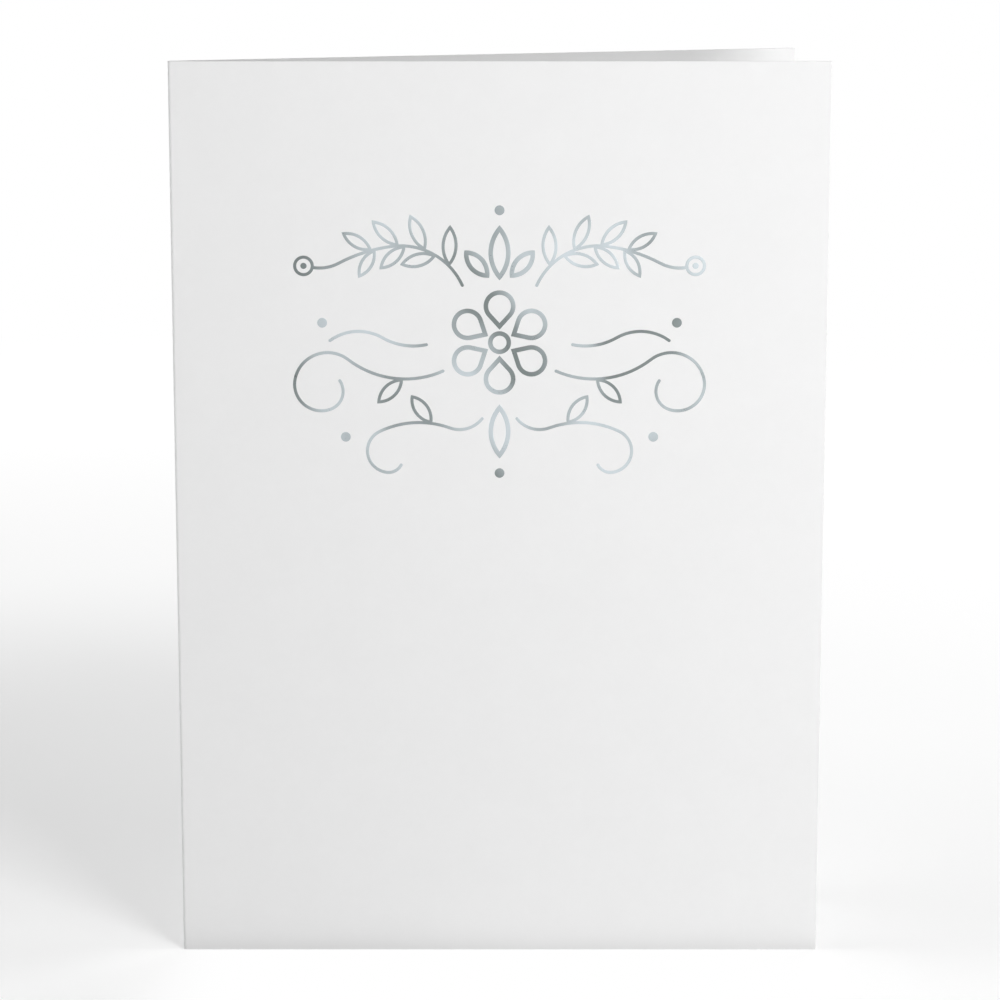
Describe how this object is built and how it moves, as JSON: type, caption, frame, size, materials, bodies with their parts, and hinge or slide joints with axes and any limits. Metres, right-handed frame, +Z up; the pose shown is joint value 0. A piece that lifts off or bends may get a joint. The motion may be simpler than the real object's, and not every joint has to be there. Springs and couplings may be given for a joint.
{
  "type": "greeting card",
  "caption": "Folded greeting card of white stock, standing partly open on its cut edges, with a silver foil line ornament on the front.",
  "frame": {"origin": "centre of the standing card's footprint box, on the surface that it stands on", "axes": "+X from the fold to the free edges, +Y from the front panel to the back panel, +Z up along the fold"},
  "size_m": [0.127, 0.034, 0.1778],
  "materials": {
    "card_stock": "uncoated white card stock, smooth with a fine tooth, matte",
    "silver_foil": "hot-stamped silver foil, satin"
  },
  "bodies": {
    "root": {"folded_card": "card_stock", "foil_ornament": "silver_foil"}
  },
  "joints": []
}
